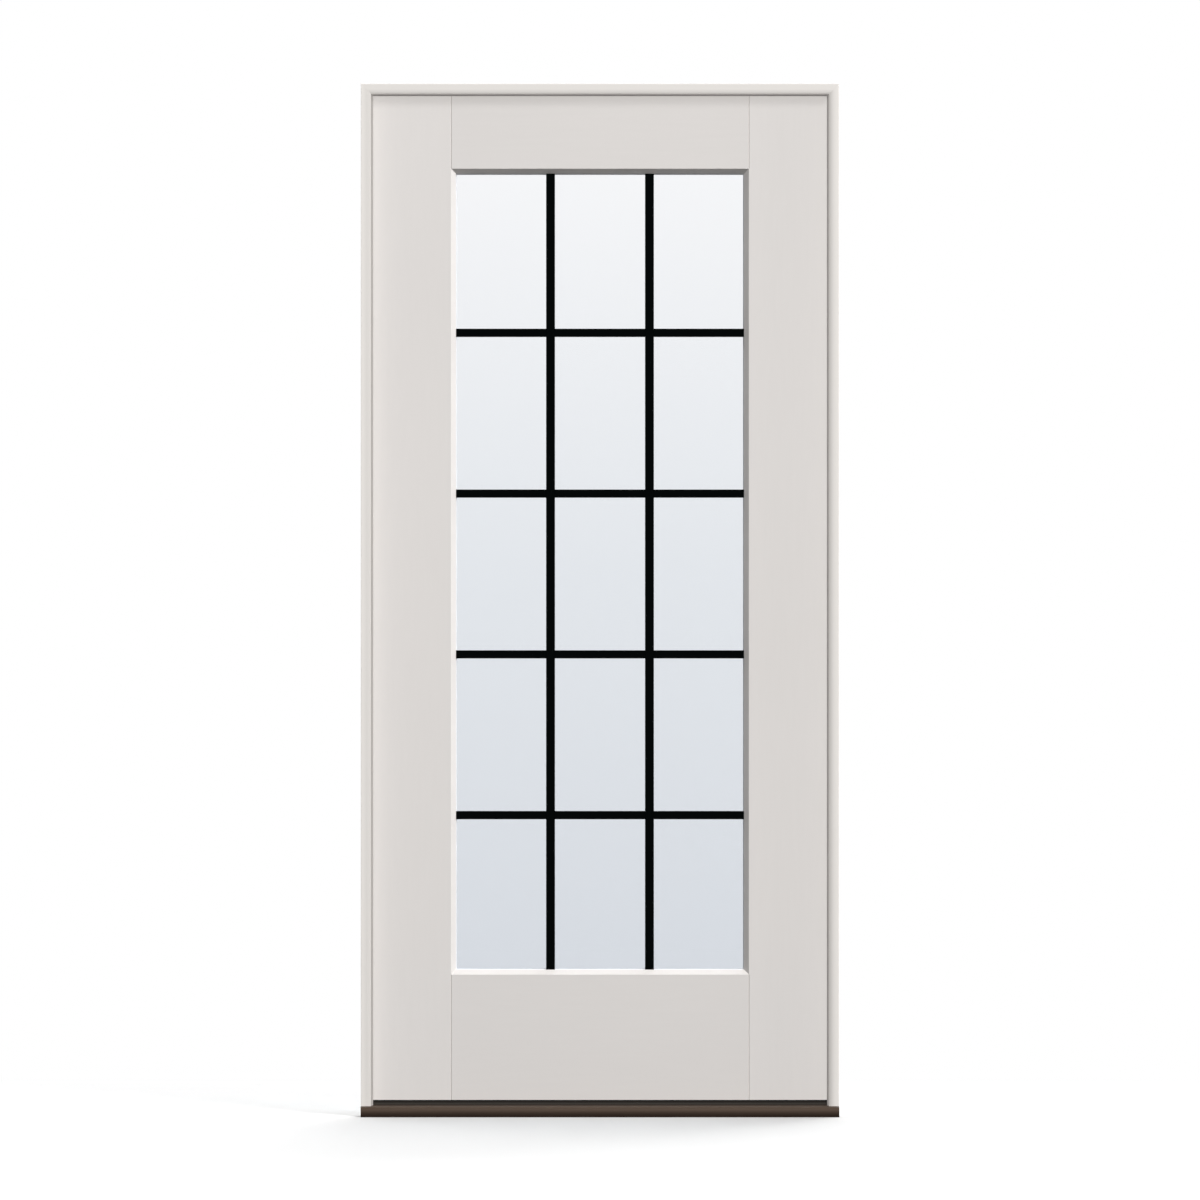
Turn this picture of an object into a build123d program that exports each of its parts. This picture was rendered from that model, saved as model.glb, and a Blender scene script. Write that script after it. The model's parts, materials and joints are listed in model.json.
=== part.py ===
from build123d import *
import math
import os

os.makedirs("parts", exist_ok=True)

# Fiberglass entrance door in its frame, in millimetres.
# X runs along the width, the outside faces -Y and Z is up.
# The origin is under the sill, at mid width, in the plane of the frame's outer face.

# Whole unit
unit_width = 952.5
unit_height = 2057.4
frame_depth = 70.0

# Section of the jambs and the head
jamb_base = 11.5
stop_face = 20.0
stop_depth = 17.5
stop_ease_width = 8.0
stop_ease_depth = 1.6
frame_edge_ease = 1.0
kerf_width = 2.2
kerf_depth = 8.0
kerf_inset = 1.5

# Weatherstrip
seal_overhang = 4.0
seal_touch_gap = 0.3
seal_nose_round = 2.2
seal_wall_gap = 0.4
seal_fin_clearance = 0.35

# Sill
sill_height = 21.0
sill_slope = 2.5
sill_nose_reach = 30.0
sill_nose_top = 25.5
sill_nose_foot = 28.0
deck_sheet = 2.0
base_nose_gap = 1.5
cap_front = 26.0
cap_thickness = 5.3
cap_front_bevel = 2.6
cap_end_gap = 0.3

# Door slab
slab_thickness = 44.5
side_gap = 5.2
head_gap = 5.2
bottom_gap = 5.2
skin = 2.2
lock_edge_bevel = 3.0
stile_width = 162.75
top_rail_width = 151.8
bottom_rail_width = 249.8
seam_width = 2.4
seam_depth = 1.0

# Lite
sticking_width = 9.6
sticking_depth = 9.5
quirk_depth = 3.25
glass_thickness = 3.0
glass_cavity = 13.0
glass_cover = 11.0
glass_edge_gap = 1.0
spacer_sight_gap = 0.5

# Lite bars
lite_columns = 3
lite_rows = 5
upright_bar_width = 17.6
cross_bar_width = 16.2
bar_ease = 0.7
grille_drop = 4.7
inner_bar_width = 12.0
inner_bar_thickness = 8.0

# Sweep under the door
sweep_sheet = 1.5
sweep_fin = 1.2
sweep_fins = 4
sweep_side_inset = 2.5
sweep_end_gap = 0.6

# Hinges
hinge_height = 101.6
hinge_leaf_depth = 38.0
hinge_leaf_thickness = 2.5
hinge_corner_radius = 15.9
hinge_knuckles = 5
knuckle_radius = 6.75
knuckle_gap = 0.4
pivot_stand_off = 7.5
pin_radius = 3.2
pin_play = 0.15
pin_head_radius = 5.2
pin_head_height = 3.4
mortise_play = 0.2
top_hinge_drop = 178.0
bottom_hinge_rise = 279.0

# Places that follow from the sizes above
half_unit = unit_width / 2
slope = math.tan(math.radians(sill_slope))
deck_back = sill_height + cap_front * slope
cap_top = deck_back + cap_thickness

slab_half = half_unit - jamb_base - side_gap
slab_front = frame_depth - slab_thickness
slab_bottom = cap_top + bottom_gap
slab_top = unit_height - jamb_base - head_gap
core_front = slab_front + skin
core_back = frame_depth - skin

face_half = slab_half - stile_width
face_bottom = slab_bottom + bottom_rail_width
face_top = slab_top - top_rail_width
sight_half = face_half - sticking_width
sight_bottom = face_bottom + sticking_width
sight_top = face_top - sticking_width

glass_front = slab_front + sticking_depth + quirk_depth
cavity_front = glass_front + glass_thickness
cavity_back = cavity_front + glass_cavity
glass_back = cavity_back + glass_thickness
bead_depth = frame_depth - glass_back
pocket_margin = glass_cover + glass_edge_gap

upright_pitch = (2 * sight_half + upright_bar_width) / lite_columns
cross_pitch = (sight_top - sight_bottom + cross_bar_width) / lite_rows
grille_centre = (sight_bottom + sight_top) / 2 - grille_drop

pivot_x = -(half_unit - jamb_base - side_gap / 2)
pivot_y = frame_depth + pivot_stand_off
hinge_levels = {
    "top": slab_top - top_hinge_drop - hinge_height / 2,
    "bottom": slab_bottom + bottom_hinge_rise + hinge_height / 2,
}
hinge_levels["middle"] = (hinge_levels["top"] + hinge_levels["bottom"]) / 2


def block(x0, x1, y0, y1, z0, z1):
    """Rectangular solid between two corners."""
    corner = (Align.MIN, Align.MIN, Align.MIN)
    return Pos(x0, y0, z0) * Box(x1 - x0, y1 - y0, z1 - z0, align=corner)


def upright(outline, z0, z1):
    """Outline of (x, y) points carried up from z0 to z1."""
    face = make_face(Polyline(*outline, close=True))
    return Pos(0, 0, z0) * extrude(face, amount=z1 - z0, dir=(0, 0, 1))


def crosswise(face, x0, x1):
    """Face drawn with y and z as its two axes, carried along x."""
    standing = Plane.YZ.offset(x0) * face
    return extrude(standing, amount=x1 - x0, dir=(1, 0, 0))


def slice_region(outline, y0, y1):
    """Outline of (x, z) points carried through the depth from y0 to y1."""
    flat = Plane((0, y0, 0), x_dir=(1, 0, 0), z_dir=(0, -1, 0))
    face = flat * make_face(Polyline(*outline, close=True))
    return extrude(face, amount=y1 - y0, dir=(0, 1, 0))


def lite_rectangle(margin, y):
    """Rectangle a margin outside the sight line of the glass, at depth y."""
    centre_z = (sight_bottom + sight_top) / 2
    flat = Plane((0, y, centre_z), x_dir=(1, 0, 0), z_dir=(0, 1, 0))
    return flat * Rectangle(2 * (sight_half + margin), sight_top - sight_bottom + 2 * margin)


def lite_prism(margin, y0, y1):
    """Straight block over the lite, a margin larger than the sight line."""
    return extrude(lite_rectangle(margin, y0), amount=y1 - y0, dir=(0, 1, 0))


def lite_funnel(margin_a, y_a, margin_b, y_b):
    """Block over the lite whose margin changes evenly between two depths."""
    return loft([lite_rectangle(margin_a, y_a), lite_rectangle(margin_b, y_b)], ruled=True)


# Frame

def three_sides(section):
    """Section carried up both sides and over the head, mitred at the corners."""
    reach = stop_face + seal_overhang + frame_depth / 10
    side = extrude(section, amount=unit_height, dir=(0, 0, 1))
    left = Pos(-half_unit, 0, 0) * side
    right = mirror(left, about=Plane.YZ)
    over = Pos(-half_unit, 0, unit_height) * Rot(0, 90, 0) * extrude(
        section, amount=unit_width, dir=(0, 0, 1))
    corners = [(-half_unit, unit_height), (half_unit, unit_height),
               (half_unit - reach, unit_height - reach),
               (-half_unit + reach, unit_height - reach)]
    head_region = slice_region(corners, 0, frame_depth)
    under_deck = crosswise(deck_top_outline(), -half_unit, half_unit)
    left = left - head_region - under_deck
    right = right - head_region - under_deck
    return left, right, over & head_region


def frame_section():
    """Rabbeted jamb section with its stop, eased nose and weatherstrip kerf."""
    nose_start = (stop_face - stop_ease_width, 0)
    nose_end = (stop_face, stop_ease_depth)
    lines = Line((frame_edge_ease, 0), nose_start)
    lines += TangentArc(nose_start, nose_end, tangent=(1, 0))
    lines += Polyline(
        nose_end,
        (stop_face, stop_depth),
        (jamb_base, stop_depth),
        (jamb_base, frame_depth - frame_edge_ease),
        (jamb_base - frame_edge_ease, frame_depth),
        (0, frame_depth),
        (0, frame_edge_ease),
        (frame_edge_ease, 0),
    )
    kerf_start = jamb_base + kerf_inset
    kerf = Pos(kerf_start, stop_depth - kerf_depth) * Rectangle(
        kerf_width, kerf_depth, align=(Align.MIN, Align.MIN))
    return make_face(lines) - kerf


def weatherstrip_section():
    """Foam bulb that bears on the stop, with the fin that holds it in the kerf."""
    wall = jamb_base + seal_wall_gap
    nose = stop_face + seal_overhang
    touch = slab_front - seal_touch_gap
    bulb = Pos((wall + nose) / 2, (stop_depth + touch) / 2) * Rectangle(
        nose - wall, touch - stop_depth)
    bulb = fillet(bulb.vertices(), seal_nose_round)
    foot = Pos(wall, stop_depth) * Rectangle(
        nose - wall - seal_nose_round, (touch - stop_depth) / 2, align=(Align.MIN, Align.MIN))
    fin_width = kerf_width - 2 * seal_fin_clearance
    fin_depth = kerf_depth - seal_fin_clearance
    fin = Pos(jamb_base + kerf_inset + seal_fin_clearance, stop_depth - fin_depth) * Rectangle(
        fin_width, fin_depth + seal_nose_round, align=(Align.MIN, Align.MIN))
    return bulb + foot + fin


# Sill

def deck_top_outline():
    """Everything below the top of the deck, from the nose to the inner edge."""
    nose_z = sill_height - sill_nose_reach * slope
    return make_face(Polyline(
        (-sill_nose_reach, 0),
        (-sill_nose_reach, nose_z),
        (cap_front, deck_back),
        (frame_depth, deck_back),
        (frame_depth, 0),
        close=True,
    ))


def sill_deck():
    """Folded metal deck: level under the cap, sloped outside it, with a bulging nose."""
    top_z = sill_height - sill_nose_top * slope
    mid_z = top_z / 2
    outer_top = (-sill_nose_top, top_z)
    outer_foot = (-sill_nose_foot, 0)
    inner_top = (-sill_nose_top + deck_sheet, top_z - deck_sheet + deck_sheet * slope)
    inner_foot = (-sill_nose_foot + deck_sheet, 0)
    lines = Polyline((frame_depth, deck_back), (cap_front, deck_back), outer_top)
    lines += ThreePointArc(outer_top, (-sill_nose_reach, mid_z), outer_foot)
    lines += Polyline(outer_foot, inner_foot)
    lines += ThreePointArc(inner_foot, (-sill_nose_reach + deck_sheet, mid_z), inner_top)
    lines += Polyline(
        inner_top,
        (cap_front, deck_back - deck_sheet),
        (frame_depth, deck_back - deck_sheet),
        (frame_depth, deck_back),
    )
    return crosswise(make_face(lines), -half_unit, half_unit)


def sill_base():
    """Composite bed under the deck, flat on the floor."""
    front = -sill_nose_top + deck_sheet + base_nose_gap
    front_z = sill_height + front * slope - deck_sheet - base_nose_gap
    outline = make_face(Polyline(
        (frame_depth, 0),
        (frame_depth, deck_back - deck_sheet),
        (cap_front, deck_back - deck_sheet),
        (front + base_nose_gap, front_z + base_nose_gap * (1 + slope)),
        (front, front_z),
        (front, 0),
        close=True,
    ))
    return crosswise(outline, -half_unit, half_unit)


def threshold_cap():
    """Raised strip on the deck that the sweep closes on."""
    end = half_unit - jamb_base - cap_end_gap
    outline = make_face(Polyline(
        (cap_front, deck_back),
        (cap_front, cap_top - cap_front_bevel),
        (cap_front + cap_front_bevel, cap_top),
        (frame_depth, cap_top),
        (frame_depth, deck_back),
        close=True,
    ))
    return crosswise(outline, -end, end)


# Door slab

def lock_edge_at(y):
    """Where the bevelled lock edge lies at depth y; the outer side is the narrower."""
    return slab_half - (frame_depth - y) * math.tan(math.radians(lock_edge_bevel))


def slab_slice(y0, y1):
    """Slab outline between two depths, with its bevelled lock edge."""
    outline = [(-slab_half, y0), (lock_edge_at(y0), y0), (lock_edge_at(y1), y1), (-slab_half, y1)]
    return upright(outline, slab_bottom, slab_top)


def seam_grooves(x, y, inward, z_low, z_high):
    """V grooves where the stiles meet the rails, below and above the lite."""
    cuts = []
    for side in (-1, 1):
        centre = side * x
        outline = [(centre - seam_width / 2, y), (centre + seam_width / 2, y),
                   (centre, y + inward * seam_depth)]
        cuts.append(upright(outline, slab_bottom, z_low))
        cuts.append(upright(outline, z_high, slab_top))
    return cuts


def exterior_skin():
    """Moulded outer skin, turned in around the lite as a bevel and a quirk."""
    bevel_end = slab_front + sticking_depth
    sheet = slab_slice(slab_front, core_front)
    lip = lite_funnel(sticking_width + skin, slab_front, skin, bevel_end)
    lip += lite_prism(skin, bevel_end, glass_front)
    void = lite_funnel(sticking_width, slab_front, 0, bevel_end)
    void += lite_prism(0, bevel_end, glass_front)
    skin_solid = sheet + lip - void
    for groove in seam_grooves(face_half, slab_front, 1, face_bottom, face_top):
        skin_solid -= groove
    return skin_solid


def interior_skin():
    """Flat inner skin, open where the glazing beads go in."""
    skin_solid = slab_slice(core_back, frame_depth) - lite_prism(pocket_margin, core_back, frame_depth)
    seam_x = sight_half + pocket_margin
    low = sight_bottom - pocket_margin
    high = sight_top + pocket_margin
    for groove in seam_grooves(seam_x, frame_depth, -1, low, high):
        skin_solid -= groove
    for level in hinge_levels.values():
        skin_solid -= leaf_mortise(1, level)
    return skin_solid


def slab_core():
    """Stiles and rails as one blank, with the glazing rabbet cut into it."""
    bevel_end = slab_front + sticking_depth
    blank = slab_slice(core_front, core_back)
    blank -= lite_funnel(sticking_width + skin, slab_front, skin, bevel_end)
    blank -= lite_prism(skin, bevel_end, glass_front)
    blank -= lite_prism(pocket_margin, glass_front, core_back)
    return blank


def rail_region(z_edge, z_corner, rise):
    """The space of one rail: between the seams, with its two ends mitred at the lite."""
    step = pocket_margin * 2
    corners = [(-face_half, z_edge), (-face_half, z_corner), (-face_half + step, z_corner + rise * step),
               (face_half - step, z_corner + rise * step), (face_half, z_corner), (face_half, z_edge)]
    return slice_region(corners, core_front, core_back)


def slab_members():
    """Hinge stile, lock stile, top rail and bottom rail, cut from the same blank."""
    core = slab_core()
    bottom = rail_region(slab_bottom, face_bottom, 1)
    top = rail_region(slab_top, face_top, -1)
    stiles = core - bottom - top
    left_half = block(-slab_half, 0, core_front, core_back, slab_bottom, slab_top)
    hinge_stile = stiles & left_half
    for level in hinge_levels.values():
        hinge_stile -= leaf_mortise(1, level)
    return {
        "hinge_stile": hinge_stile,
        "lock_stile": stiles - left_half,
        "bottom_rail": core & bottom,
        "top_rail": core & top,
    }


# Glazing

def glass_spacer():
    """Spacer frame that keeps the two panes apart."""
    ring = lite_prism(glass_cover, cavity_front, cavity_back)
    return ring - lite_prism(spacer_sight_gap, cavity_front, cavity_back)


def bead_region(side):
    """Mitred share of the bead frame that belongs to one side of the lite."""
    x = sight_half + pocket_margin
    low = sight_bottom - pocket_margin
    high = sight_top + pocket_margin
    step = pocket_margin * 2
    left = [(-x, low), (-x + step, low + step), (-x + step, high - step), (-x, high)]
    bottom = [(-x, low), (-x + step, low + step), (x - step, low + step), (x, low)]
    regions = {
        "left": left,
        "right": [(-px, pz) for px, pz in left],
        "bottom": bottom,
        "top": [(px, low + high - pz) for px, pz in bottom],
    }
    return slice_region(regions[side], glass_back, frame_depth)


def glazing_beads():
    """Inner beads that hold the glass, bevelled like the outer sticking."""
    bevel_start = frame_depth - sticking_depth
    ring = lite_prism(pocket_margin, glass_back, frame_depth)
    ring -= lite_prism(0, glass_back, bevel_start)
    ring -= lite_funnel(0, bevel_start, sticking_width, frame_depth)
    return {side: ring & bead_region(side) for side in ("left", "right", "bottom", "top")}


def bar_outline(width, thickness):
    """Half of an eased flat bar section, from the glass out, as (across, out) points."""
    half = width / 2
    return [(-half, 0), (-half, thickness - bar_ease), (-half + bar_ease, thickness),
            (half - bar_ease, thickness), (half, thickness - bar_ease), (half, 0)]


def upright_centres():
    first = -(lite_columns - 2) / 2
    return [(first + i) * upright_pitch for i in range(lite_columns - 1)]


def cross_centres():
    first = -(lite_rows - 2) / 2
    return [grille_centre + (first + i) * cross_pitch for i in range(lite_rows - 1)]


def lite_bars(glass_face, outward, thickness):
    """Bars on one face of the glass, half lapped where they cross."""
    lap_y = sorted((glass_face, glass_face + outward * thickness / 2))
    top_y = sorted((glass_face + outward * thickness / 2, glass_face + outward * thickness))
    uprights = []
    for x in upright_centres():
        outline = [(x + a, glass_face + outward * b) for a, b in bar_outline(upright_bar_width, thickness)]
        bar = upright(outline, sight_bottom, sight_top)
        for z in cross_centres():
            bar -= block(x - upright_bar_width / 2, x + upright_bar_width / 2, *lap_y,
                         z - cross_bar_width / 2, z + cross_bar_width / 2)
        uprights.append(bar)
    crosses = []
    for z in cross_centres():
        outline = [(glass_face + outward * b, z + a) for a, b in bar_outline(cross_bar_width, thickness)]
        bar = crosswise(make_face(Polyline(*outline, close=True)), -sight_half, sight_half)
        for x in upright_centres():
            bar -= block(x - upright_bar_width / 2, x + upright_bar_width / 2, *top_y,
                         z - cross_bar_width / 2, z + cross_bar_width / 2)
        crosses.append(bar)
    return uprights, crosses


def inner_bar_lattice():
    """Thin bars between the panes, behind the ones that show."""
    middle = (cavity_front + cavity_back) / 2
    front = middle - inner_bar_thickness / 2
    back = middle + inner_bar_thickness / 2
    reach_x = sight_half + spacer_sight_gap
    lattice = None
    for x in upright_centres():
        bar = block(x - inner_bar_width / 2, x + inner_bar_width / 2, front, back,
                    sight_bottom - spacer_sight_gap, sight_top + spacer_sight_gap)
        lattice = bar if lattice is None else lattice + bar
    for z in cross_centres():
        lattice += block(-reach_x, reach_x, front, back,
                         z - inner_bar_width / 2, z + inner_bar_width / 2)
    return lattice


def door_sweep():
    """Sheet under the door with fins that close on the threshold cap."""
    front = slab_front + sweep_side_inset
    back = frame_depth - sweep_side_inset
    end = slab_half - sweep_end_gap
    lock_end = lock_edge_at(slab_front) - sweep_end_gap
    foot = cap_top + seal_touch_gap
    sweep = block(-end, lock_end, front, back, slab_bottom - sweep_sheet, slab_bottom)
    pitch = (back - front - sweep_fin) / (sweep_fins - 1)
    for i in range(sweep_fins):
        y = front + i * pitch
        sweep += block(-end, lock_end, y, y + sweep_fin, foot, slab_bottom - sweep_sheet)
    return sweep


# Hinges

def leaf_outline(play):
    """Leaf outline as a face in depth and height, rounded at its far corners."""
    depth = hinge_leaf_depth + pivot_stand_off + play
    plate = Pos(-depth / 2, 0) * Rectangle(depth, hinge_height + 2 * play)
    far = plate.vertices().sort_by(Axis.X)[:2]
    return fillet(far, hinge_corner_radius + play)


def leaf_plate(side, play):
    """Leaf plate about the hinge axis; side is 1 on the door and -1 on the frame."""
    start = side * side_gap / 2
    end = start + side * hinge_leaf_thickness
    return crosswise(leaf_outline(play), min(start, end), max(start, end))


def leaf_mortise(side, level):
    """Recess for one leaf, cut into the jamb or the door edge."""
    return Pos(pivot_x, pivot_y, level) * leaf_plate(side, mortise_play)


def hinge_leaf(side, level):
    """One leaf with its share of the knuckles, bored for the pin."""
    knuckle = hinge_height / hinge_knuckles
    leaf = leaf_plate(side, 0)
    own = 0 if side < 0 else 1
    for i in range(hinge_knuckles):
        centre = -hinge_height / 2 + (i + 0.5) * knuckle
        if i % 2 == own:
            leaf += Pos(0, 0, centre) * Cylinder(knuckle_radius, knuckle - knuckle_gap)
        else:
            leaf -= Pos(0, 0, centre) * Cylinder(knuckle_radius + knuckle_gap, knuckle + knuckle_gap)
    leaf -= Cylinder(pin_radius + pin_play, hinge_height * 2)
    return Pos(pivot_x, pivot_y, level) * leaf


def hinge_pin(level):
    """Turned pin with a domed head at each end."""
    seat = hinge_height / 2
    rim = seat + pin_head_height / 2
    tip = seat + pin_head_height
    lines = Polyline((0, -tip), (pin_head_radius * 0.6, -tip), (pin_head_radius, -rim),
                     (pin_head_radius, -seat), (pin_radius, -seat), (pin_radius, seat),
                     (pin_head_radius, seat), (pin_head_radius, rim),
                     (pin_head_radius * 0.6, tip), (0, tip), close=True)
    section = Plane.XZ * make_face(lines)
    return Pos(pivot_x, pivot_y, level) * revolve(section, axis=Axis.Z)


# Assembly

def build_door():
    nodes = {}
    hinge_jamb, strike_jamb, head_jamb = three_sides(frame_section())
    for level in hinge_levels.values():
        hinge_jamb -= leaf_mortise(-1, level)
    nodes["hinge_jamb"] = hinge_jamb
    nodes["strike_jamb"] = strike_jamb
    nodes["head_jamb"] = head_jamb
    seals = three_sides(weatherstrip_section())
    for name, seal in zip(("hinge_side", "strike_side", "head"), seals):
        nodes["weatherstrip_" + name] = seal
    nodes["sill_deck"] = sill_deck()
    nodes["sill_base"] = sill_base()
    nodes["threshold_cap"] = threshold_cap()

    nodes["exterior_skin"] = exterior_skin()
    nodes["interior_skin"] = interior_skin()
    nodes.update(slab_members())
    nodes["glass_exterior"] = lite_prism(glass_cover, glass_front, cavity_front)
    nodes["glass_interior"] = lite_prism(glass_cover, cavity_back, glass_back)
    nodes["glass_spacer"] = glass_spacer()
    nodes["inner_bar_lattice"] = inner_bar_lattice()
    for side, bead in glazing_beads().items():
        nodes["glazing_bead_" + side] = bead
    faces = {
        "exterior": (glass_front, -1, quirk_depth),
        "interior": (glass_back, 1, bead_depth - sticking_depth),
    }
    for place, (glass_face, outward, thickness) in faces.items():
        uprights, crosses = lite_bars(glass_face, outward, thickness)
        for i, bar in enumerate(uprights):
            nodes[f"{place}_upright_bar_{i + 1}"] = bar
        for i, bar in enumerate(crosses):
            nodes[f"{place}_cross_bar_{i + 1}"] = bar
    nodes["door_sweep"] = door_sweep()

    for place, level in hinge_levels.items():
        nodes["hinge_frame_leaf_" + place] = hinge_leaf(-1, level)
        nodes["hinge_door_leaf_" + place] = hinge_leaf(1, level)
        nodes["hinge_pin_" + place] = hinge_pin(level)
    return nodes


for node_name, node_shape in build_door().items():
    export_step(node_shape, f"parts/{node_name}.step")
print("hinge axis", round(pivot_x, 3), round(pivot_y, 3))
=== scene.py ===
# %% [markdown]
# # A fiberglass entrance door, dressed around its solid model
#
# The solids of the door, its frame and its hinges are already made at their real size. This notebook
# gives them their finishes, adds the small hardware that the solids leave out, and sets up the studio
# in which a maker would photograph such a door for a catalogue. Lengths are in metres. X runs along the
# width, the outside of the door faces -Y, and Z is up.

# %% Load the solid model
import bpy
import json
import math
import numpy as np
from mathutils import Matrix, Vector


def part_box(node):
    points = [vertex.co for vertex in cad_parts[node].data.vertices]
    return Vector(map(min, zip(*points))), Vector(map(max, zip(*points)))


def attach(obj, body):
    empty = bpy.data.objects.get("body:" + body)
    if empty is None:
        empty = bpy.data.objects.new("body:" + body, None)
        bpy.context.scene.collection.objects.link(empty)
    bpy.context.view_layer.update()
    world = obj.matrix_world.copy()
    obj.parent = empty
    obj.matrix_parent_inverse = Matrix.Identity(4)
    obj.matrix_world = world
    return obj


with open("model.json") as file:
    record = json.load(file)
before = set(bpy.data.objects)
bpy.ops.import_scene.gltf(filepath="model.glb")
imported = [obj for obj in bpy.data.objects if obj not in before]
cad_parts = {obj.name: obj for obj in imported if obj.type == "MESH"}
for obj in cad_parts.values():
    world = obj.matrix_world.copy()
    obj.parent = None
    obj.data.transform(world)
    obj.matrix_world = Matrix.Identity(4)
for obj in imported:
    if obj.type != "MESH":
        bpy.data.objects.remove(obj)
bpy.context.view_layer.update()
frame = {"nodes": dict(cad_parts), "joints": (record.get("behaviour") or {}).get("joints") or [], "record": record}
nodes = frame["nodes"]
MM = 0.001

# %% [markdown]
# ## Places that the finishes need
#
# A finish often has to know where a piece begins and ends: the tint of the glass runs from the top of
# the lite to its bottom, and a brushed hinge needs its axis. These places are read from the solids, so
# the notebook still fits when the door is made wider or taller.

# %% Read the places from the solids
glass_low, glass_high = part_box("glass_exterior")
deck_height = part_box("sill_deck")[1].z
unit_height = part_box("head_jamb")[1].z
frame_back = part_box("head_jamb")[1].y
hinge_axis = Vector(frame["joints"][0]["pos_m"])
print("height", round(unit_height, 4), "hinge axis at", tuple(round(v, 4) for v in hinge_axis))

# %% [markdown]
# ## The camera
#
# A catalogue photograph of a door is an elevation: the verticals are parallel and no side of the frame
# shows. A view camera does that with its lens level with the middle of the door. The same picture comes
# from a very long lens far away, which also keeps the thin sill from showing its top. The height of the
# camera and the part of the picture that the frame fills were measured on the photograph.

# %% Place the camera
PICTURE_WIDTH = 2.3897       # metres across the picture at the face of the frame
PICTURE_MIDDLE = 1.0291      # height of the middle of the picture above the floor
LENS = 400.0
SENSOR = 36.0


def make_camera():
    """Level camera whose distance is the picture's width times lens over sensor."""
    data = bpy.data.cameras.new("camera")
    data.lens = LENS
    data.sensor_width = SENSOR
    data.clip_end = 200.0
    camera = bpy.data.objects.new("camera", data)
    camera.location = (0.0, -PICTURE_WIDTH * LENS / SENSOR, PICTURE_MIDDLE)
    camera.rotation_euler = (math.radians(90), 0, 0)
    bpy.context.scene.collection.objects.link(camera)
    bpy.context.scene.camera = camera
    return camera


camera = make_camera()
print("camera stands", round(-camera.location.y, 2), "m away")

# %% [markdown]
# ## Arithmetic on shader sockets
#
# A procedural finish is a formula, and a formula is easier to read as Python than as a list of nodes.
# The class below wraps one output socket. Adding, multiplying or comparing wraps adds the Math node for
# it, and numbers on their own are worked out before they reach the shader. Everything else, such as a
# noise or a ramp, comes from one method that takes the node's type, its settings and its inputs.

# %% A socket that does arithmetic


class Wire:
    """One output socket of a shader, on which Python arithmetic adds Math nodes."""

    def __init__(self, tree, socket):
        self.tree = tree
        self.socket = socket

    def math(self, operation, *values):
        """Math node of one operation; the wire itself is its first value."""
        node = self.tree.nodes.new("ShaderNodeMath")
        node.operation = operation
        for place, value in enumerate((self, *values)):
            plug(self.tree, value, node.inputs[place])
        return Wire(self.tree, node.outputs[0])

    def __add__(self, other):
        return self.math("ADD", other)

    __radd__ = __add__

    def __mul__(self, other):
        return self.math("MULTIPLY", other)

    __rmul__ = __mul__

    def __sub__(self, other):
        return self.math("SUBTRACT", other)

    def __rsub__(self, other):
        return (self * -1.0) + other

    def __truediv__(self, other):
        return self.math("DIVIDE", other)

    def __gt__(self, other):
        return self.math("GREATER_THAN", other)

    def __lt__(self, other):
        return self.math("LESS_THAN", other)

    def clamped(self):
        """Kept between 0 and 1."""
        return self.math("MAXIMUM", 0.0).math("MINIMUM", 1.0)

    def between(self, low, high):
        """0 at low and below, 1 at high and above, smooth between."""
        node = self.tree.nodes.new("ShaderNodeMapRange")
        node.interpolation_type = "SMOOTHSTEP"
        for name, value in (("Value", self), ("From Min", low), ("From Max", high)):
            plug(self.tree, value, node.inputs[name])
        return Wire(self.tree, node.outputs["Result"])


def plug(tree, value, target):
    """Link a wire to a socket, or write a plain value on the socket."""
    if isinstance(value, Wire):
        tree.links.new(value.socket, target)
    else:
        target.default_value = value


class Finish:
    """One material, its Principled shader and the coordinates it reads."""

    def __init__(self, name, **constants):
        self.material = bpy.data.materials.new(name)
        self.material.use_nodes = True
        self.tree = self.material.node_tree
        self.shader = self.tree.nodes["Principled BSDF"]
        self.output = self.tree.nodes["Material Output"]
        for socket, value in constants.items():
            self.shader.inputs[socket.replace("_", " ")].default_value = value

    def node(self, kind, settings=None, inputs=None, output=0):
        """Any node by its type: settings are set first, then the values or links of its inputs."""
        made = self.tree.nodes.new("ShaderNode" + kind)
        for name, value in (settings or {}).items():
            setattr(made, name, value)
        for name, value in (inputs or {}).items():
            plug(self.tree, value, made.inputs[name])
        return Wire(self.tree, made.outputs[output])

    def place(self):
        """Object coordinates of the surface, in metres."""
        return self.node("TexCoord", output="Object")

    def axis(self, name):
        """One of the three object coordinates."""
        return self.node("SeparateXYZ", inputs={"Vector": self.place()}, output=name)

    def noise(self, scale, stretch=(1, 1, 1), detail=2.0, roughness=0.5):
        """Noise of so many features a metre, drawn out along the axes by stretch."""
        squeezed = tuple(1.0 / s for s in stretch)
        place = self.node("Mapping", inputs={"Vector": self.place(), "Scale": squeezed})
        return self.node("TexNoise", inputs={
            "Vector": place, "Scale": scale, "Detail": detail, "Roughness": roughness}, output="Fac")

    def blend(self, factor, first, second):
        """Colour that goes from the first to the second as the factor goes from 0 to 1."""
        return self.node("Mix", {"data_type": "RGBA"}, {0: factor, 6: first, 7: second}, output=2)

    def relief(self, height, depth, strength=1.0):
        """Bump from a height between 0 and 1 that stands for so many metres."""
        return self.node("Bump", inputs={"Strength": strength, "Distance": depth, "Height": height})

    def feed(self, **links):
        """Lead wires into the Principled shader."""
        for name, wire in links.items():
            plug(self.tree, wire, self.shader.inputs[name.replace("_", " ")])
        return self


def linear(red, green, blue):
    """Linear colour of a display colour given from 0 to 255."""
    def one(value):
        v = value / 255.0
        return v / 12.92 if v <= 0.04045 else ((v + 0.055) / 1.055) ** 2.4
    return (one(red), one(green), one(blue), 1.0)


print("shader helpers ready")

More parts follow.
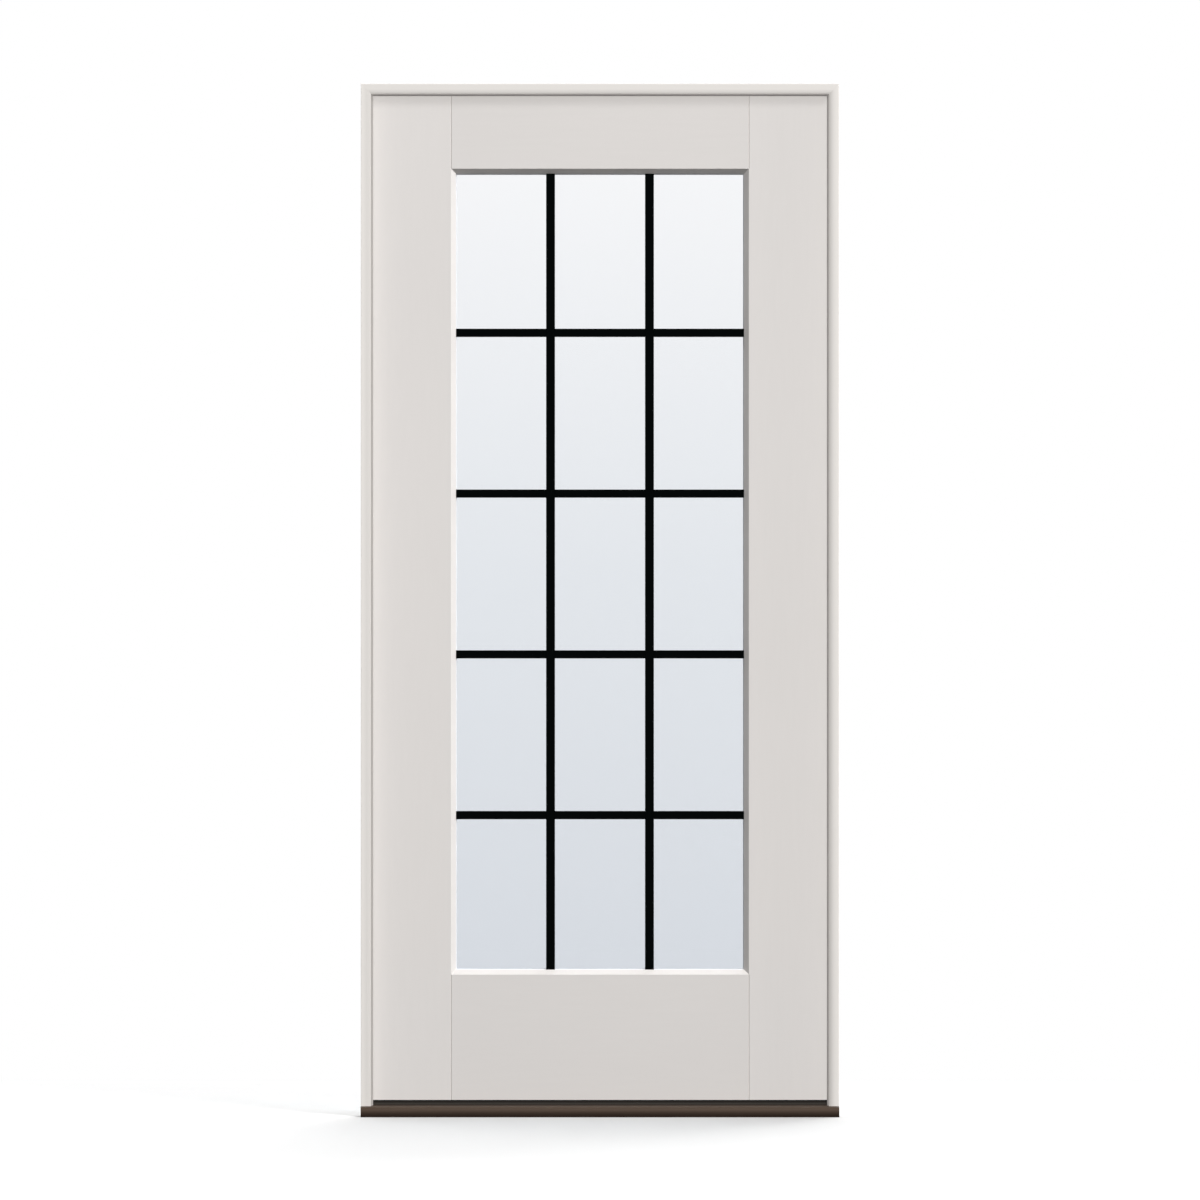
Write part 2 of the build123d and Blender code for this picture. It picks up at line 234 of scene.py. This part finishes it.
# %% [markdown]
# ## Painted fiberglass skin
#
# The skins of the door are moulded smooth and sprayed with a satin paint. Up close a sprayed coat is
# not flat: it has the faint dimples that painters call orange peel, a few millimetres apart and a few
# hundredths of a millimetre deep. Under the paint the mould carries a trace of grain, upright on the
# stiles and level on the rails, which changes direction exactly at the seams. The rails are painted a
# shade deeper than the stiles: painted shade. The groove of each seam is painted a deeper tone, a
# painted shade. The moulding round the glass is painted a shade deeper as well, a painted shade that
# keeps its brightest slope below white in the picture. A flat colour would look like card, so the coat
# gets the dimples and the grain in its relief, and a slow drift of tone.

# %% Finish of the skins and beads
SKIN_PALE = linear(222, 218, 215)
SKIN_DEEP = linear(216, 212, 209)
# Painted shade in the groove of each seam.
SKIN_SEAM_SHADE = linear(202, 197, 193)
# Painted shade on the moulding round the lite, which keeps its brightest slope below white.
SKIN_MOULDING_SHADE = linear(211, 207, 204)
SEAM_HALF = 1.1 * MM
MOULDING = 10 * MM           # from the lite to just past the moulding
MOULDING_FACE = 9 * MM       # from the lite to just inside the moulding's outer edge
seam_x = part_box("top_rail")[1].x
lite_low, lite_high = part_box("exterior_upright_bar_1")
lite_middle, lite_half = (lite_low.z + lite_high.z) / 2, (lite_high.z - lite_low.z) / 2
lite_half_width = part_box("exterior_cross_bar_1")[1].x


def off_axis(finish):
    """Distance to either side of the door's middle."""
    return finish.axis("X").math("ABSOLUTE")


def off_middle(finish):
    """Distance above or below the middle of the lite."""
    return (finish.axis("Z") - lite_middle).math("ABSOLUTE")


def moulding_mask(finish):
    """1 inside the outer edge of the moulding round the lite, and 0 elsewhere."""
    across = off_axis(finish) < lite_half_width + MOULDING_FACE
    return across * (off_middle(finish) < lite_half + MOULDING_FACE)


def seam_mask(finish):
    """1 along the two upright seams, above and below the moulding round the lite, and 0 elsewhere."""
    off_seam = (off_axis(finish) - seam_x).math("ABSOLUTE")
    past_lite = off_middle(finish) > lite_half + MOULDING
    return (1.0 - off_seam.between(0.3 * SEAM_HALF, SEAM_HALF)) * past_lite


def painted_skin():
    """Satin coat: dimples, grain along each member, drifting tone, gloss, and painted shade on rails, seams and
    moulding.
    """
    finish = Finish("painted_skin", Specular_IOR_Level=0.3)
    on_rail = off_axis(finish) < seam_x
    upright_grain = finish.noise(120.0, stretch=(1, 1, 14), detail=4.0)
    level_grain = finish.noise(120.0, stretch=(14, 1, 1), detail=4.0)
    grain = upright_grain + on_rail * (level_grain - upright_grain)
    drift = finish.noise(1.7, detail=2.0)
    # Painted shade: the rails are a shade deeper than the stiles; the rest of the tone is random drift and grain.
    tone = (drift - 0.5) * 0.7 + (grain - 0.5) * 0.5 + 0.6 - on_rail * 0.5
    peel = finish.noise(520.0, detail=1.0) + finish.noise(210.0, detail=0.0) * 0.6
    coat = finish.blend(tone.clamped(), SKIN_DEEP, SKIN_PALE)
    # Painted shade: the moulding round the lite is a shade deeper than the rest of the skin.
    coat = finish.blend(moulding_mask(finish), coat, SKIN_MOULDING_SHADE)
    return finish.feed(
        # Painted shade: the groove of each seam is a deeper tone.
        Base_Color=finish.blend(seam_mask(finish), coat, SKIN_SEAM_SHADE),
        Roughness=finish.noise(14.0, detail=3.0) * 0.08 + 0.4,
        Normal=finish.relief(peel * 0.5 + grain * 0.8, 0.05 * MM, 0.5),
    )


skin_finish = painted_skin()
print("painted skin changes grain at the seams,", round(seam_x, 4), "m off the middle")

# %% [markdown]
# ## The frame
#
# What the frame is made of can't be seen. It is finished as a composite profile with an off-white cap, a
# little lighter and warmer than the door. Such profiles are drawn through a die, so what texture there is
# runs along them. In the photograph the tone deepens towards the rounded inner edge of each jamb, and
# here that is painted shade. The head is painted a shade deeper than the jambs, painted shade too.

# %% Finish of the jambs and the head
FRAME_PALE = linear(231, 227, 223)
FRAME_DEEP = linear(227, 223, 218)
# Painted shade at the inner edge of each jamb.
FRAME_EDGE_SHADE = linear(203, 199, 195)
# The head's colours are painted a shade deeper than the jambs': painted shade.
HEAD_SHADED_PALE = linear(227, 223, 219)
HEAD_SHADED_DEEP = linear(223, 219, 214)
EDGE_SHADE_WIDTH = 18 * MM
doorway_half = -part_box("hinge_jamb")[1].x


def capped_frame(name, stretch, deep, pale, inner_edge=None):
    """Extruded off-white cap whose faint streaks run along the piece, with painted shade at a jamb's inner edge.
    """
    finish = Finish(name, Specular_IOR_Level=0.3)
    streaks = finish.noise(90.0, stretch=stretch, detail=3.0)
    grain = finish.noise(700.0, detail=1.0)
    colour = finish.blend(streaks, deep, pale)
    if inner_edge is not None:
        from_edge = off_axis(finish) - inner_edge
        # Painted shade: darker towards the jamb's inner edge.
        colour = finish.blend(from_edge.between(-0.2 * EDGE_SHADE_WIDTH, EDGE_SHADE_WIDTH), FRAME_EDGE_SHADE, colour)
    return finish.feed(
        Base_Color=colour,
        Roughness=streaks * 0.08 + 0.42,
        Normal=finish.relief(grain * 0.6 + streaks * 0.4, 0.03 * MM, 0.5),
    )


jamb_finish = capped_frame("capped_jamb", (1, 1, 40), FRAME_DEEP, FRAME_PALE, inner_edge=doorway_half)
head_shaded_finish = capped_frame("capped_head_shaded", (40, 1, 1), HEAD_SHADED_DEEP, HEAD_SHADED_PALE)
print("doorway is", round(2 * doorway_half, 4), "wide between the jambs")

# %% [markdown]
# ## Sill, cap, sweep and seals
#
# The sill's deck is metal with a dark bronze coat. Rolling or drawing it leaves fine lines along it, and
# the nose is painted paler towards its top and darker towards its foot: painted light and shade. The cap
# on it is a vinyl extrusion of nearly the same colour, and the sweep under the door is black vinyl. The
# seals are foam in a thin skin, matt and a little uneven.

# %% Finishes of the sill and the seals
BRONZE = linear(46, 36, 29)
BRONZE_PAINTED_LIGHT = linear(72, 59, 49)
CAP_BROWN = linear(47, 43, 39)
SWEEP_BLACK = linear(33, 30, 27)
SEAL_GREY = linear(162, 158, 155)
COMPOSITE = linear(150, 143, 134)


def extruded(name, dark, light, roughness, metallic, line_depth, painted_light_band=None):
    """Coated extrusion along X: its die lines are noise drawn out sixty times along the piece."""
    finish = Finish(name, Metallic=metallic, Specular_IOR_Level=0.12)
    lines = finish.noise(260.0, stretch=(60, 1, 1), detail=2.0)
    grain = finish.noise(900.0, detail=1.0)
    share = lines
    # Painted light and shade: paler towards the top of the band, darker below it.
    if painted_light_band is not None:
        share = finish.axis("Z").between(*painted_light_band) * 0.75 + lines * 0.25
    return finish.feed(
        Base_Color=finish.blend(share, dark, light),
        Roughness=grain * 0.12 + roughness,
        Normal=finish.relief(lines * 0.7 + grain * 0.3, line_depth, 0.6),
    )


def moulded(name, colour, other, roughness, scale, depth):
    """Matt moulded piece with an even fine grain."""
    finish = Finish(name)
    grain = finish.noise(scale, detail=3.0)
    return finish.feed(
        Base_Color=finish.blend(grain, colour, other),
        Roughness=grain * 0.15 + roughness,
        Normal=finish.relief(grain, depth, 0.6),
    )


# The deck's nose is painted paler towards its top and darker towards its foot: painted light and shade.
deck_finish = extruded("bronze_deck", BRONZE, BRONZE_PAINTED_LIGHT, 0.5, 0.3, 0.04 * MM,
                       painted_light_band=(0.1 * deck_height, 1.1 * deck_height))
cap_finish = extruded("brown_cap", CAP_BROWN, linear(52, 48, 44), 0.45, 0.0, 0.03 * MM)
sweep_finish = extruded("black_sweep", SWEEP_BLACK, linear(38, 35, 32), 0.55, 0.0, 0.03 * MM)
seal_finish = moulded("foam_seal", SEAL_GREY, linear(152, 148, 145), 0.7, 700.0, 0.08 * MM)
base_finish = moulded("sill_bed", COMPOSITE, linear(132, 126, 118), 0.7, 300.0, 0.1 * MM)
print("sill and seal finishes ready")

# %% [markdown]
# ## Stiles and rails
#
# The edges of the door show when it stands open. The photograph doesn't show them. They are finished as
# laminated wood sprayed with the door, where the laminations come through the thinner coat as faint
# lines across the thickness.

# %% Finish of the door's edges


def painted_edge():
    """Thin coat over laminated wood, with plies across the thickness and fine upright pores."""
    finish = Finish("painted_edge", Specular_IOR_Level=0.3)
    plies = finish.noise(330.0, stretch=(8, 1, 60), detail=2.0)
    pores = finish.noise(900.0, stretch=(1, 1, 12), detail=2.0)
    return finish.feed(
        Base_Color=finish.blend(plies, linear(206, 200, 192), linear(217, 212, 206)),
        Roughness=pores * 0.15 + 0.5,
        Normal=finish.relief(plies * 0.6 + pores * 0.4, 0.08 * MM, 0.6),
    )


edge_finish = painted_edge()
print("edge finish ready")

# %% [markdown]
# ## Glass
#
# The lite is an insulated unit: two panes with a spacer between them. In a catalogue picture the glass
# shows a sky that fades from almost white at the top to a cool pale grey at the bottom. Here that sky is a
# painted reflection: the panes pass light and carry the fade as a tint read from the height, half of it
# in each pane, so that it stays on the glass from every side. Lamps reach through the panes by a
# Transparent shader that only shadow rays see, because refracted light would need thousands of samples
# to look clean.

# %% Finish of the panes
# Colours of the painted sky reflection at the top, middle and bottom of the lite.
SKY_TOP = (249, 250, 252)
SKY_MIDDLE = (229, 233, 238)
SKY_BOTTOM = (215, 220, 227)
PANES = 2
PANE_GAIN = 1.035            # what two clear panes add in reflections of the white studio


def pane_painted_sky(sky):
    """Tint of one pane, a painted reflection of the sky, so that all the panes in a row show the sky's colour."""
    return tuple((v / PANE_GAIN) ** (1 / PANES) for v in linear(*sky)[:3]) + (1.0,)


def glass_with_painted_sky():
    """Clear glass whose tint, a painted sky reflection, runs up the lite; shadow rays pass straight through."""
    finish = Finish("glass_with_painted_sky", Roughness=0.0, IOR=1.45, Transmission_Weight=1.0)
    rise = (finish.axis("Z") - glass_low.z) / (glass_high.z - glass_low.z)
    lower = finish.blend((rise * 2.0).clamped(), pane_painted_sky(SKY_BOTTOM), pane_painted_sky(SKY_MIDDLE))
    finish.feed(Base_Color=finish.blend((rise * 2.0 - 1.0).clamped(), lower, pane_painted_sky(SKY_TOP)))
    shadow = finish.node("LightPath", output="Is Shadow Ray")
    clear = finish.node("BsdfTransparent", inputs={"Color": (0.6, 0.62, 0.63, 1.0)})
    glass = Wire(finish.tree, finish.shader.outputs[0])
    both = finish.node("MixShader", inputs={0: shadow, 1: glass, 2: clear})
    plug(finish.tree, both, finish.output.inputs["Surface"])
    return finish


glass_finish = glass_with_painted_sky()
print("tint of one pane at the foot:", tuple(round(v, 3) for v in pane_painted_sky(SKY_BOTTOM)))

# %% [markdown]
# ## Bars, spacer and hinges
#
# The bars are thin metal with a dead black coat, so they are given almost no shine. The spacer is plain
# metal strip. The hinges are plated steel with a satin brush along their height.

# %% Finishes of the metal pieces


def black_coat():
    """Dead black coat with an even fine grain and almost no shine."""
    finish = Finish("black_coat", Specular_IOR_Level=0.01)
    grain = finish.noise(1200.0, detail=1.0)
    return finish.feed(
        Base_Color=finish.blend(grain, linear(1, 3, 3), linear(5, 7, 7)),
        Roughness=grain * 0.1 + 0.55,
        Normal=finish.relief(grain, 0.01 * MM, 0.5),
    )


def satin_metal(name, dark, light, roughness, stretch):
    """Plated metal whose brush marks are noise drawn out along one axis."""
    finish = Finish(name, Metallic=1.0)
    brush = finish.noise(1500.0, stretch=stretch, detail=2.0)
    cloud = finish.noise(60.0, detail=2.0)
    return finish.feed(
        Base_Color=finish.blend(cloud, dark, light),
        Roughness=brush * 0.12 + cloud * 0.06 + roughness,
        Normal=finish.relief(brush, 0.01 * MM, 0.5),
    )


bar_finish = black_coat()
spacer_finish = satin_metal("spacer_strip", linear(150, 151, 153), linear(170, 171, 173), 0.35, (1, 1, 30))
hinge_finish = satin_metal("satin_hinge", linear(168, 164, 156), linear(188, 184, 176), 0.28, (1, 1, 40))
print("metal finishes ready")

# %% [markdown]
# ## Dressing the solids
#
# The record of the door names a material for each solid, so a finish is made once and goes to every
# solid that asks for it. The head alone takes a finish of its own, painted a shade deeper than the jambs:
# painted shade.

# %% Give every solid its finish
FINISH_OF_SLOT = {
    "frame_finish": jamb_finish,
    "seal_foam": seal_finish,
    "bronze_sill": deck_finish,
    "sill_composite": base_finish,
    "dark_cap": cap_finish,
    "door_skin": skin_finish,
    "door_core": edge_finish,
    "clear_glass": glass_finish,
    "spacer_metal": spacer_finish,
    "black_bar": bar_finish,
    "sweep_vinyl": sweep_finish,
    "hinge_steel": hinge_finish,
}


def dress(piece, finish):
    """Put one finish on every material slot of a piece."""
    piece.data.materials.clear()
    piece.data.materials.append(finish.material)


for subpart in frame["record"]["subparts"]:
    dress(nodes[subpart["node"]], FINISH_OF_SLOT[subpart["material_slot"]])
# The head's own finish is painted a shade deeper: painted shade.
dress(nodes["head_jamb"], head_shaded_finish)

# %% [markdown]
# ## Glazing seal
#
# Where the glass meets the moulding a glazier runs a thin fillet of pale grey sealant and smooths it
# with a wet finger, which leaves a hollow quarter round. In the photograph it is the faint line between
# the moulding and the panes. It is a small profile led round the rectangle of the lite: every point of
# the profile is a distance in from the edge and a height off the glass, and the four corners are mitred
# because the distance is taken off the width and off the height alike.

# %% Mesh helpers and the fillet round the panes
SEALANT_RADIUS = 1.8 * MM
SEALANT_SUNK = 0.05 * MM
SEALANT_STEPS = 8


def mesh_piece(name, points, faces, smooth=True):
    """Mesh object at the origin from arrays of points and faces."""
    mesh = bpy.data.meshes.new(name)
    mesh.from_pydata(points.tolist(), [], faces.tolist())
    mesh.polygons.foreach_set("use_smooth", np.full(len(mesh.polygons), smooth))
    mesh.update()
    piece = bpy.data.objects.new(name, mesh)
    bpy.context.scene.collection.objects.link(piece)
    return piece


def grid_faces(rows, columns, start=0, rows_closed=False):
    """Quads of a grid whose columns run round in a loop; its rows can close in a loop too."""
    strips = rows if rows_closed else rows - 1
    row, column = np.meshgrid(np.arange(strips), np.arange(columns), indexing="ij")
    below, after = (row + 1) % rows, (column + 1) % columns
    corners = [row * columns + column, below * columns + column,
               below * columns + after, row * columns + after]
    return np.stack(corners, axis=-1).reshape(-1, 4) + start


def sealant_profile():
    """Closed section: hollow quarter of a circle round (r, r), then back under its two edges."""
    turn = np.linspace(0.0, np.pi / 2, SEALANT_STEPS)
    inward = SEALANT_RADIUS * (1 - np.sin(turn))
    height = SEALANT_RADIUS * (1 - np.cos(turn))
    inward = np.append(inward, [-SEALANT_SUNK, -SEALANT_SUNK, SEALANT_RADIUS])
    height = np.append(height, [SEALANT_RADIUS, -SEALANT_SUNK, -SEALANT_SUNK])
    return inward, height


def sealant_ring(name, glass_face, side):
    """Fillet round the lite on one face of the glass; side is -1 outside and +1 inside."""
    inward, height = sealant_profile()
    corner_x = np.array([-1, 1, 1, -1])[:, None] * side
    corner_z = np.array([-1, -1, 1, 1])[:, None]
    x = corner_x * (lite_half_width - inward)
    y = np.broadcast_to(glass_face + side * height, x.shape)
    z = lite_middle + corner_z * (lite_half - inward)
    points = np.stack([x, y, z], axis=-1).reshape(-1, 3)
    ring = mesh_piece(name, points, grid_faces(4, len(inward), rows_closed=True), smooth=False)
    dress(ring, sealant_finish)
    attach(ring, "door")
    return ring


sealant_finish = moulded("glazing_sealant", linear(222, 223, 227), linear(212, 214, 218),
                         0.45, 500.0, 0.02 * MM)
sealant_ring("glazing_seal_outside", glass_low.y, -1)
sealant_ring("glazing_seal_inside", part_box("glass_interior")[1].y, 1)
print("sealant runs round a lite", round(2 * lite_half_width, 4), "by", round(2 * lite_half, 4))

# %% [markdown]
# ## Hinge screws
#
# Each leaf of a butt hinge is held by four countersunk screws with a cross recess, two by two in a
# zigzag so that they don't split the wood in one line. A screw head is a surface over a disc: its
# height depends on the distance from the middle and, inside the recess, on the distance from the two
# arms of the cross. Worked out on a polar grid it needs no cutting.

# %% A screw head as a function of radius and angle
SCREW_RADIUS = 4.4 * MM
SCREW_RINGS = 16
SCREW_SPOKES = 48
SCREW_HEIGHTS = (-38.0, -13.5, 13.5, 38.0)
SCREW_SETBACKS = (20.0, 31.0)
RECESS_ARM = 2.5 * MM
RECESS_HALF = 0.62 * MM
RECESS_DEPTH = 1.3 * MM
HEAD_PROUD = 0.25 * MM


def screw_head(turn):
    """Heights on a polar grid: a shallow dome, minus a cross whose walls are smooth steps.

    The dome is proud * (1 - (r / R)^2) and falls under the leaf at its rim. The cross is the larger
    of two arms; each arm is a step in the distance across it times a step in the distance along it.
    """
    radii = np.linspace(0.0, 1.0, SCREW_RINGS) ** 0.8 * SCREW_RADIUS
    angles = np.linspace(0.0, 2 * np.pi, SCREW_SPOKES, endpoint=False)
    r, a = np.meshgrid(radii, angles, indexing="ij")
    x, y = r * np.cos(a), r * np.sin(a)
    u = x * np.cos(turn) + y * np.sin(turn)
    v = y * np.cos(turn) - x * np.sin(turn)

    def inside(distance, limit):
        t = np.clip((limit - np.abs(distance)) / (0.25 * MM) + 0.5, 0.0, 1.0)
        return t * t * (3 - 2 * t)

    cross = np.maximum(inside(u, RECESS_ARM) * inside(v, RECESS_HALF),
                       inside(v, RECESS_ARM) * inside(u, RECESS_HALF))
    dome = HEAD_PROUD * (1 - (r / SCREW_RADIUS) ** 2)
    rim = np.clip((r / SCREW_RADIUS - 0.93) / 0.07, 0.0, 1.0)
    z = dome - cross * RECESS_DEPTH * (1 - 0.3 * r / RECESS_ARM) - rim * 0.2 * MM
    return np.stack([x, y, z], axis=-1)


def leaf_screws(name, leaf, face, side):
    """Four screw heads in a zigzag on the face of one leaf; side is +1 where it looks along +X."""
    low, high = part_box(leaf)
    middle = (low.z + high.z) / 2
    points, faces = [], []
    for place, height in enumerate(SCREW_HEIGHTS):
        head = screw_head(turn=0.6 * place + 0.3 * side).reshape(-1, 3)
        setback = SCREW_SETBACKS[place % 2] * MM
        world = np.empty_like(head)
        world[:, 0] = face + side * head[:, 2]
        world[:, 1] = frame_back - setback + side * head[:, 0]
        world[:, 2] = middle + height * MM + head[:, 1]
        faces.append(grid_faces(SCREW_RINGS, SCREW_SPOKES, place * len(head)))
        points.append(world)
    return mesh_piece(name, np.concatenate(points), np.concatenate(faces))


# %% [markdown]
# ## Where the screws go
#
# Each hinge has one leaf on the frame and one on the door, and their faces look at each other across the
# gap beside the stile. So one set of four screws serves both: the second time it is turned round and
# rides with the door.

# %% Screws on the six leaves
half_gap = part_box("hinge_stile")[0].x - hinge_axis.x
for level in ("top", "middle", "bottom"):
    for body, side in (("frame", 1), ("door", -1)):
        leaf = "hinge_{}_leaf_{}".format(body, level)
        screws = leaf_screws(leaf.replace("leaf", "screws"), leaf, hinge_axis.x - side * half_gap, side)
        dress(screws, hinge_finish)
        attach(screws, body)
print("faces of the leaves stand", round(half_gap / MM, 2), "mm from the hinge axis")

# %% [markdown]
# ## The studio
#
# A catalogue door stands on white with hardly any shadow. The bevel round the glass tells where the light
# comes from: its left and bottom sides are bright, its right side is dim and its top is dark, so the main
# light is high on the right. The world is plain white where the camera, a mirror or the glass looks at
# it, and weaker where it lights the door, so the door keeps its modelling. The floor is white too. Out
# past the shadow it fades into the same white as the world.

# %% World and floor
AMBIENT = 0.22               # light of the room on the door, where white is 1
FLOOR_RADIUS = 14.0
FLOOR_SPOKES = 96
FLOOR_CLEAR = 5.0
FLOOR_BACK = (0.4, 2.0)      # behind the door the floor fades to white between these
FLOOR_PALE = 0.5
FLOOR_BOUNCE = 0.05


def seen_directly(tree):
    """1 for the rays of the camera, of mirrors and of glass, 0 for the rays that carry light."""
    rays = tree.nodes.new("ShaderNodeLightPath")
    seen = Wire(tree, rays.outputs["Is Camera Ray"])
    for ray in ("Is Glossy Ray", "Is Transmission Ray"):
        seen = seen.math("MAXIMUM", Wire(tree, rays.outputs[ray]))
    return seen


def make_world():
    """World that looks white, and lights the door with the ambient share alone."""
    world = bpy.data.worlds.new("studio")
    bpy.context.scene.world = world
    world.use_nodes = True
    tree = world.node_tree
    background = tree.nodes["Background"]
    background.inputs["Color"].default_value = (1, 1, 1, 1)
    plug(tree, seen_directly(tree) * (1.0 - AMBIENT) + AMBIENT, background.inputs["Strength"])


def floor_finish():
    """Pale floor: lit and shadowed near the door, white far out, dim for the light that it returns."""
    finish = Finish("studio_floor")
    x, y = finish.axis("X"), finish.axis("Y")
    far_out = (x * x + y * y).math("SQRT").between(FLOOR_CLEAR, FLOOR_RADIUS * 0.9)
    far_out = far_out.math("MAXIMUM", y.between(*FLOOR_BACK))
    white = finish.node("Emission", inputs={"Color": (1, 1, 1, 1), "Strength": 1.0})
    pale = finish.node("BsdfDiffuse", inputs={"Color": (FLOOR_PALE, FLOOR_PALE, FLOOR_PALE, 1.0)})
    dim = finish.node("BsdfDiffuse", inputs={"Color": (FLOOR_BOUNCE, FLOOR_BOUNCE, FLOOR_BOUNCE, 1.0)})
    near = finish.node("MixShader", inputs={0: far_out, 1: pale, 2: white})
    both = finish.node("MixShader", inputs={0: seen_directly(finish.tree), 1: dim, 2: near})
    plug(finish.tree, both, finish.output.inputs["Surface"])
    finish.tree.nodes.remove(finish.shader)
    return finish


def make_floor():
    """Disc on the ground, as a fan of points on a circle."""
    angles = np.linspace(0, 2 * np.pi, FLOOR_SPOKES, endpoint=False)
    rim = np.stack([np.cos(angles), np.sin(angles), np.zeros_like(angles)], axis=-1) * FLOOR_RADIUS
    floor = mesh_piece("studio_floor", rim, np.arange(FLOOR_SPOKES).reshape(1, -1))
    dress(floor, floor_finish())
    return floor


make_world()
floor = make_floor()
print("world and floor ready")

# %% [markdown]
# ## The lamps
#
# Every lamp is a soft box aimed at the middle of the door. The key stands high on the right and far away,
# so that it lights the head and the sill alike. A key so high would put a broad dark band under the head
# and beside the right jamb, and the photograph has hardly any. A real lamp can't leave a shadow out, but
# a retoucher does, so the key comes in two parts: the right jamb shades neither of them, and the head
# shades only the smaller one, which leaves a faint shade under it. A box beside the door on each side,
# low, grazes past it: the right one brightens the left moulding, and the left one matters when the door
# stands open. The back lamp lights the inside. The last lamp lights the floor alone and draws the soft
# shadow at the sill. None of them is seen by the camera.

# %% Set up the lamps


def soft_box(name, turn, rise, distance, size, level):
    """Square lamp aimed at the middle of the door.

    Turn and rise are in degrees, turn to the right of the door's face. The level is how bright a white
    card at the door would look if it faced the lamp: power over (pi squared times distance squared).
    """
    data = bpy.data.lights.new(name, "AREA")
    data.size = size
    data.energy = level * (math.pi * distance) ** 2
    made = bpy.data.objects.new(name, data)
    turn, rise = math.radians(turn), math.radians(rise)
    level_part = math.cos(rise)
    towards = Vector((math.sin(turn) * level_part, -math.cos(turn) * level_part, math.sin(rise)))
    made.location = Vector((0.0, 0.0, unit_height / 2)) + towards * distance
    made.rotation_euler = (-towards).to_track_quat("-Z", "Y").to_euler()
    made.visible_camera = False
    bpy.context.scene.collection.objects.link(made)
    return made


def not_shaded_by(lamp, names):
    """Keep the named solids from casting shadows in a lamp's light; all the others still do."""
    clear = bpy.data.collections.new(lamp.name + "_clear")
    for name in names:
        clear.objects.link(nodes[name])
    for entry in clear.collection_objects:
        entry.light_linking.link_state = "EXCLUDE"
    lamp.light_linking.blocker_collection = clear


def light_only(lamp, piece):
    """Let a lamp light one piece alone; the others still cast their shadows in its light."""
    receivers = bpy.data.collections.new(lamp.name + "_receivers")
    receivers.objects.link(piece)
    lamp.light_linking.receiver_collection = receivers


RIGHT_SIDE = ["strike_jamb", "weatherstrip_strike_side"]
HEAD_SIDE = ["head_jamb", "weatherstrip_head"]
key_place = {"turn": 30, "rise": 39, "distance": 45.0, "size": 13.5}
not_shaded_by(soft_box("key_lamp", level=0.97, **key_place), RIGHT_SIDE + HEAD_SIDE)
not_shaded_by(soft_box("head_key_lamp", level=0.22, **key_place), RIGHT_SIDE)
soft_box("side_lamp", turn=84, rise=8, distance=14.0, size=3.0, level=0.3)
soft_box("back_lamp", turn=170, rise=38, distance=20.0, size=8.0, level=0.7)
soft_box("left_lamp", turn=-94, rise=14, distance=20.0, size=4.0, level=0.5)
floor_lamp = soft_box("floor_lamp", turn=180, rise=62, distance=16.0, size=12.0, level=1.25)
light_only(floor_lamp, floor)
print("lamps:", [light.name for light in bpy.data.lights])

# %% [markdown]
# ## Colour of the picture
#
# The catalogue wants the paint as it is, so the picture keeps plain display colours, without the softer
# highlights of a film look.

# %% Keep plain colours
bpy.context.scene.view_settings.view_transform = "Standard"
